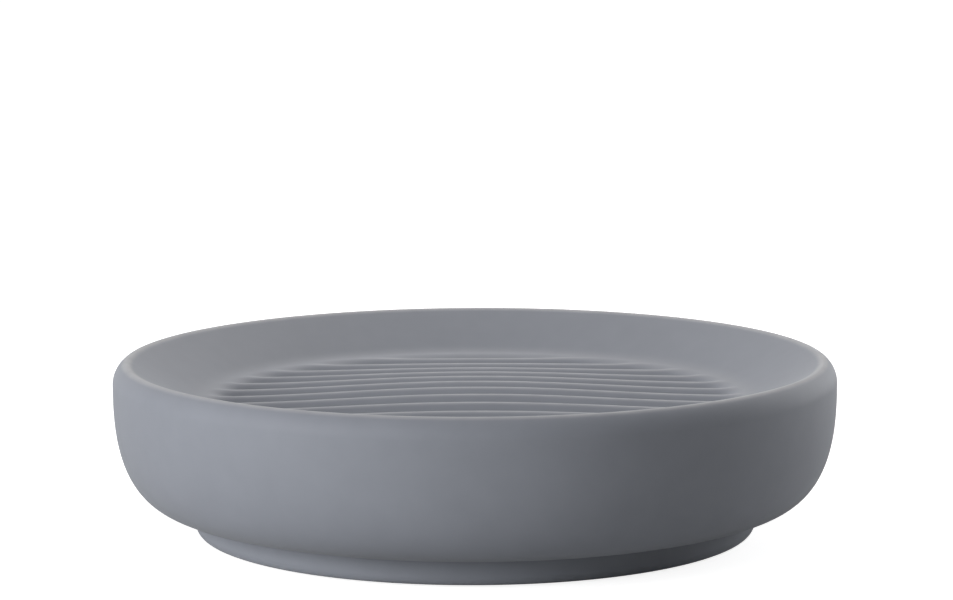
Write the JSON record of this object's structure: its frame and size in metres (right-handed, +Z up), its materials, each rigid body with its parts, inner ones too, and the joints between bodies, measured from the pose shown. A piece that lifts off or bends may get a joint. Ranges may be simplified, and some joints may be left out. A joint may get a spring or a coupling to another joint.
{
  "type": "soap dish",
  "caption": "Round soap dish with a bulging matt wall, a rounded rim, a ribbed domed floor and a narrower foot on small non-slip pads.",
  "frame": {"origin": "on the dish's axis, in the plane that the undersides of the pads rest on", "axes": "+Z up out of the bowl; +X along the ribs; -Y towards the viewer in the picture"},
  "size_m": [0.12, 0.12, 0.029],
  "materials": {
    "stoneware": "matt, soft-touch coat, bluish mid grey",
    "silicone": "satin, clear greyish"
  },
  "bodies": {
    "root": {"dish_body": "stoneware", "foot_pad_1": "silicone", "foot_pad_2": "silicone", "foot_pad_3": "silicone", "foot_pad_4": "silicone"}
  },
  "joints": []
}
